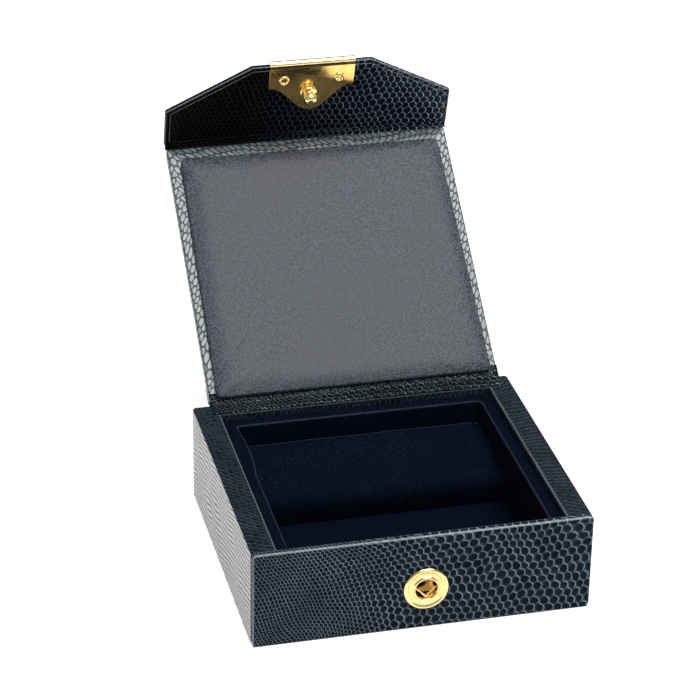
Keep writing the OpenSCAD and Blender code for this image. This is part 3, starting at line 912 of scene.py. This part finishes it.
def subdivided(obj):
    """One level of subdivision, made mesh."""
    obj.modifiers.new("smooth", "SUBSURF").levels = 1
    smooth = bpy.data.meshes.new_from_object(obj.evaluated_get(bpy.context.evaluated_depsgraph_get()))
    obj.modifiers.clear()
    obj.data = smooth
    smooth.shade_smooth()


def pad_mesh(outline, thick):
    """The pad before it swells: rings from its foot, over its rounded edge, to the middle of its top."""
    levels = [(0.0, 0.0), (0.0, 0.55), (0.1, 0.85), (0.45, 1.0), (1.0, 1.06)]  # (inset, share of thick)
    levels += [(1.0 + 2.3 * k, 1.06 + 0.16 * (1 - exp(-k / 2.6))) for k in range(1, 20)]
    bm = bmesh.new()
    rings = []
    for inset, share in levels:
        ring = corner_ring(outline, inset * MM, 1.6 * MM, 4, (40, 38))
        rings.append([bm.verts.new((p.x, p.y, share * thick)) for p, _ in ring])
    bridge(bm, rings)
    bm.faces.new(rings[0])
    bm.faces.new(rings[-1])
    return bm


def pucker(x, y, half, y0, y1):
    """How far the satin rises, in millimetres: puckers by the hinge's corners, and pulls along the edges."""
    near_hinge = exp(-max(y - y0, 0) / 16)
    to_corner = exp(-(half - abs(x)) / 14)
    folds = sin(abs(x) * 0.55 + y * 0.4) * near_hinge * to_corner
    edge = min(half - abs(x), y - y0, y1 - y)
    pull = sin(x * 0.83 + 1.3 * sin(y * 0.21)) * exp(-edge / 5)
    return (0.22 * folds + 0.04 * pull) * min(1, max(edge, 0) / 1.5)


def lid_pad():
    """The satin pad: cloth blown up over its foam, held along its edges, with puckers towards the hinge."""
    _, high = local_box("lid_pad", LID)
    hinge_half, crease_half = 48.8 * MM, 47.2 * MM
    y0, y1 = 0.9 * MM, high.y + 0.2 * MM
    thick = high.z - 0.1 * MM
    bm = pad_mesh([(-hinge_half, y0), (hinge_half, y0), (crease_half, y1), (-crease_half, y1)], thick)
    for v in bm.verts:
        x, y, z = v.co / MM
        if z >= 0.3:
            v.co.z += pucker(x, y, hinge_half / MM, y0 / MM, y1 / MM) * MM
    obj = make("satin_pad", bm, pad_satin)
    held = [v.index for v in obj.data.vertices if v.co.z < 0.9 * thick]
    inflate(obj, held, 0.5 * MM)
    subdivided(obj)
    obj.data.transform(LID)
    dress(obj, "lid", "satin", "lid_pad")
    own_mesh(obj)
    return obj


# ---------- flap ----------


def flap_outline():
    """The flap's outline, read off its CAD leather: straight sides, chamfers and a straight top."""
    low, high = local_box("flap_leather", FLAP)
    points = [FLAP.inverted() @ v.co for v in frame["nodes"]["flap_leather"].data.vertices]
    side = max(p.y for p in points if p.x > high.x - 0.1 * MM)
    top = max(p.x for p in points if p.y > high.y - 0.1 * MM)
    return [(low.x, low.y), (high.x, low.y), (high.x, side), (top, high.y), (-top, high.y), (low.x, side)]


def flap_cover():
    """The flap's outer leather, turned in round its edge."""
    low, high = local_box("flap_leather", FLAP)
    profile = edge_profile(high.z - low.z, 0.5 * MM, 3 * MM, 0.35 * MM, (0.2, 0.5))
    obj = wrapped_board("flap_cover", flap_outline(), 0.7 * MM, profile, FLAP, flap_hide, low.z)
    return dress(obj, "flap", "leather", "flap_leather")


def flap_lining():
    """The flap's inner leather, set in a little from the edge."""
    low, high = local_box("flap_lining", FLAP)
    profile = edge_profile(high.z - low.z + 0.2 * MM, 0.25 * MM, 0, 0, (0.5, 0))
    flipped = FLAP @ Matrix.Scale(-1, 4, Vector((0, 0, 1)))
    inner = [tuple(p) for p, _ in corner_ring(flap_outline(), 1.6 * MM, 0.02 * MM, 1)][::2]
    obj = wrapped_board("flap_lining_leather", inner, 0.4 * MM, profile, flipped, flap_hide, -0.12 * MM)
    return dress(obj, "flap", "lining_leather", "flap_lining")


def crease_fold():
    """The leather that runs on from the lid to the flap, round the outside of the crease."""
    lid_low, lid_high = local_box("lid_leather", LID)
    flap_low, _ = local_box("flap_leather", FLAP)
    crease_at = lid_length / MM
    lid_under, flap_under = lid_low.z / MM - 0.05, flap_low.z / MM - 0.05
    steps = 6
    path = side_points(LID, [(crease_at - 3.0, lid_under), (crease_at - 0.9, lid_under)])
    for k in range(1, steps):
        t = k / steps
        angle = flap_fold * t
        radius = (-lid_low.z) * (1 - t) + (-flap_low.z) * t
        p = crease + LID.to_3x3() @ Vector((0, sin(angle) * radius, -cos(angle) * radius))
        path.append(Vector((p.y, p.z)))
    path += side_points(FLAP, [(1.0, flap_under), (3.0, flap_under)])
    return leather_strip("crease_fold", path, lid_high.x - 0.6 * MM, flap_hide,
                         ("crease_leather",), 59, 0.2 * MM)


def crease_inside():
    """The pressed groove on the inside of the crease."""
    crease_at = lid_length / MM
    path = side_points(LID, [(crease_at - 1.0, 0.03), (crease_at - 0.7, 0.02), (crease_at - 0.3, -0.25)])
    path += side_points(FLAP, [(0.3, -0.25), (0.7, 0.02), (1.0, 0.03)])
    half = local_box("flap_leather", FLAP)[1].x - 0.3 * MM
    return leather_strip("crease_inside", path, half, flap_hide, (), 59, 0.2 * MM)


# ---------- brass ----------


def plate_outline(half, tip, top):
    """The plate's outline: an ogee down to its tip, small rounded corners, and straight sides."""
    ogee_top, corner_r = 23.0 * MM, 0.9 * MM
    ogee_x = half - corner_r
    steps = 26
    points = []
    for k in range(steps + 1):
        x = ogee_x * (2 * k / steps - 1)
        share = (abs(x) / ogee_x) ** 1.05
        points.append((x, tip + (ogee_top - tip) * (1 - cos(pi * share)) / 2))
    middle = ogee_top + corner_r
    points += arc(ogee_x, middle, corner_r, [288, 306, 324, 342, 360])
    points += [(half, top), (-half, top)]
    return points + arc(-ogee_x, middle, corner_r, [180, 198, 216, 234, 252])


def clasp_leaf(name, outline, z, sign):
    """One leaf of the plate, from z outwards along sign, with its outer edge softened."""
    soft = 0.14 * MM
    levels = ((0, 0), (0, PLATE_THICK - soft), (soft * 0.3, PLATE_THICK - soft * 0.3), (soft, PLATE_THICK))
    bm = bmesh.new()
    rings = []
    for inset, height in levels:
        ring = []
        for i, point in enumerate(outline):
            before, after = Vector(outline[i - 1]), Vector(outline[(i + 1) % len(outline)])
            along = (after - before).normalized()
            p = Vector(point) - Vector((along.y, -along.x)) * inset
            ring.append(bm.verts.new((p.x, p.y, z + sign * height)))
        rings.append(ring)
    bridge(bm, rings)
    bm.faces.new(rings[0])
    bm.faces.new(rings[-1])
    bm.transform(FLAP)
    return make(name, bm, plate_gold)


def fold_section(low, high, start):
    """The fold's section as (y, z): out over the flap's edge and back, then again on its inner side."""
    outer_r = (high.z - low.z) / 2
    inner_r = outer_r - PLATE_THICK
    middle = (high.z + low.z) / 2
    centre = high.y - outer_r
    section = [(start, high.z), (centre, high.z)]
    section += arc(centre, middle, outer_r, [90 - 180 * k / 14 for k in range(1, 14)])
    section += [(centre, low.z), (start, low.z), (start, low.z + PLATE_THICK), (centre, low.z + PLATE_THICK)]
    section += arc(centre, middle, inner_r, [-90 + 180 * k / 8 for k in range(1, 8)])
    return section + [(centre, high.z - PLATE_THICK), (start, high.z - PLATE_THICK)]


def clasp_plate():
    """The plate's two leaves, and the fold that joins them round the flap's free edge."""
    low, high = local_box("clasp_plate", FLAP)
    flap_low, flap_high = local_box("flap_leather", FLAP)
    outline = plate_outline(high.x, low.y, flap_high.y - 0.3 * MM)
    dress(clasp_leaf("clasp_leaf_inner", outline, 0.0, 1), "flap", "brass", "clasp_plate")
    dress(clasp_leaf("clasp_leaf_outer", outline, flap_low.z, -1), "flap", "brass")
    section = fold_section(low, high, flap_high.y - 1.2 * MM)
    rows = []
    for x in (-high.x, -high.x + 0.12 * MM, high.x - 0.12 * MM, high.x):
        rows.append([(FLAP @ Vector((x, y, z)), (0, 0)) for y, z in section])
    dress(strip("clasp_fold", rows, gold, closed=True, caps=True), "flap", "brass")


def rivets():
    """The two tubular rivets that hold the plate to the flap, each with a rolled rim on both sides."""
    low, high = local_box("plate_rivets", FLAP)
    r = (high.y - low.y) / 2
    across, up = high.x - r, (high.y + low.y) / 2
    r, top, bottom, plate = r / MM, high.z / MM, low.z / MM, PLATE_THICK / MM
    profile = [
        (0.0, bottom + 0.5), (0.75, bottom + 0.35), (0.95, bottom + 0.05), (1.3, bottom),
        (1.65, bottom + 0.1), (r, bottom + 0.35), (r, bottom + 0.6), (1.2, bottom + 0.6), (1.2, plate),
        (r, plate), (r, plate + 0.25), (1.72, top - 0.12), (1.45, top), (1.2, top - 0.08),
        (0.95, top - 0.35), (0.85, top - 0.9), (0.8, bottom + 0.9), (0.0, bottom + 0.8),
    ]
    for name, x, nodes in (("rivet_left", -across, ("plate_rivets",)), ("rivet_right", across, ())):
        dress(lathe(name, profile, FLAP @ Matrix.Translation((x, up, 0)), gold, 40), "flap", "brass", *nodes)


def stud():
    """The clasp's stud: a washer behind the flap, a foot on the plate, a neck and a domed head."""
    low, high = local_box("stud", FLAP)
    middle = centre_of(low, high)
    back, end, plate = low.z / MM, high.z / MM, PLATE_THICK / MM
    profile = [(0.0, back), (1.9, back), (2.35, back + 0.2), (2.5, back + 0.6), (1.6, back + 0.62)]
    front = [  # (radius, height over the plate)
        (1.6, 0), (3.1, 0), (3.1, 0.45), (2.95, 0.7), (2.7, 0.8), (2.2, 0.86), (1.75, 1.1), (1.6, 1.5),
        (1.6, 2.4), (1.9, 2.65), (2.35, 2.8), (2.5, 3.15), (2.5, 3.6), (2.42, 4.0), (2.2, 4.5), (1.85, 4.95),
        (1.4, 5.3),
    ]
    profile += [(r, plate + z) for r, z in front] + [(0.8, end - 0.04), (0.0, end)]
    obj = lathe("clasp_stud", profile, FLAP @ Matrix.Translation((middle.x, middle.y, 0)), gold, 64)
    return dress(obj, "flap", "brass", "stud")


def socket():
    """The snap's ring with its raised lip and a row of beads in place of any mark."""
    low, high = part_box("socket_ring")
    middle = centre_of(low, high)
    facing = Matrix.Translation((middle.x, high.y, middle.z)) @ Matrix.Rotation(pi / 2, 4, "X")
    r = (high.x - low.x) / 2
    hole = 3.6
    lip = [(0, -0.6), (0, 0.5), (0.08, 0.85), (0.28, 1.06), (0.5, 1.08), (0.72, 0.95), (0.86, 0.72),
           (1, 0.55)]
    rim = [(1.5, 0.5), (1.25, 0.62), (1.0, 0.84), (0.7, 0.92), (0.4, 0.84), (0.15, 0.6), (0, 0.3), (0, 0)]
    profile = [(hole + out, height) for out, height in lip]
    profile += [(r / MM - inwards, height) for inwards, height in rim]
    dress(lathe("socket_rim", profile, facing, gold, 96), "base", "brass", "socket_ring")
    dress(beading(r - 1.75 * MM, facing), "base", "brass")


def beading(ring, facing):
    """A ring of small beads."""
    count, bead_r, seat = 40, 0.27 * MM, 0.5 * MM
    bm = bmesh.new()
    for k in range(count):
        a = 2 * pi * k / count
        spot = Matrix.Translation((ring * cos(a), ring * sin(a), seat))
        bmesh.ops.create_icosphere(bm, subdivisions=2, radius=bead_r, matrix=spot)
    bm.transform(facing)
    return make("socket_beading", bm, gold)


# ---------- CAD nodes that stay ----------


def finish_cad_nodes():
    """The CAD pieces that still show, or lie hidden inside, in their own materials."""
    kept = {
        under_hide: ("underside_cover",),
        wood: ("left_wall", "right_wall", "back_wall", "front_rail"),
        board: ("base_board", "front_panel", "floor_packer", "lid_board", "pad_card", "flap_board"),
        tray_velvet: ("tray_floor",),
        roll_foam: ("roll_core",),
        gold: ("socket_barrel", "socket_spring", "socket_washer"),
    }
    for material, nodes in kept.items():
        for node in nodes:
            mesh = frame["nodes"][node].data
            mesh.materials.clear()
            mesh.materials.append(material)


# ---------- stage ----------


def softbox(name, place, target, size, watts):
    light = bpy.data.lights.new(name, "AREA")
    light.shape, light.size, light.size_y = "RECTANGLE", *size
    light.energy = watts
    obj = bpy.data.objects.new(name, light)
    obj.location = place
    obj.rotation_euler = (Vector(target) - Vector(place)).to_track_quat("-Z", "Y").to_euler()
    bpy.context.scene.collection.objects.link(obj)


def studio():
    """A pale floor, a soft bluish surround and one large softbox overhead."""
    bm = bmesh.new()
    bmesh.ops.create_grid(bm, x_segments=1, y_segments=1, size=3.0)
    floor = make("studio_floor", bm, pale_floor("studio_floor"), False)
    world = bpy.data.worlds.new("studio")
    world.use_nodes = True
    sky = world.node_tree.nodes["Background"]
    sky.inputs["Color"].default_value = (0.93, 0.96, 1.0, 1)
    sky.inputs["Strength"].default_value = 0.45
    bpy.context.scene.world = world
    softbox("overhead", (0.24, -0.22, 1.1), (0, 0.05, 0.06), (0.9, 0.9), 22)


def camera():
    """The photograph's viewing angle: a long lens, a little left of the middle and above."""
    azimuth, elevation, roll_angle = radians(-14.34), radians(27.99), radians(1.07)
    distance, aim_right, aim_up, lens = 0.92825, -0.01168, 0.06662, 141.87
    level = cos(elevation)
    back = Vector((sin(azimuth) * level, -cos(azimuth) * level, sin(elevation)))
    right = Vector((0, 0, 1)).cross(back).normalized()
    up = back.cross(right)
    tilted = cos(roll_angle) * right + sin(roll_angle) * up
    upright = -sin(roll_angle) * right + cos(roll_angle) * up
    data = bpy.data.cameras.new("camera")
    data.lens, data.sensor_width = lens, 36
    obj = bpy.data.objects.new("camera", data)
    place = tilted * aim_right + upright * aim_up + back * distance
    obj.matrix_world = Matrix.Translation(place) @ Matrix((tilted, upright, back)).transposed().to_4x4()
    bpy.context.scene.collection.objects.link(obj)
    bpy.context.scene.camera = obj
    bpy.context.scene.view_settings.view_transform = "Standard"


camera()
studio()
wall_cover()
front_cover()
tray_lining()
roll()
hinge_strip()
spine()
lid_cover()
lid_pad()
flap_cover()
flap_lining()
crease_fold()
crease_inside()
clasp_plate()
rivets()
stud()
socket()
finish_cad_nodes()
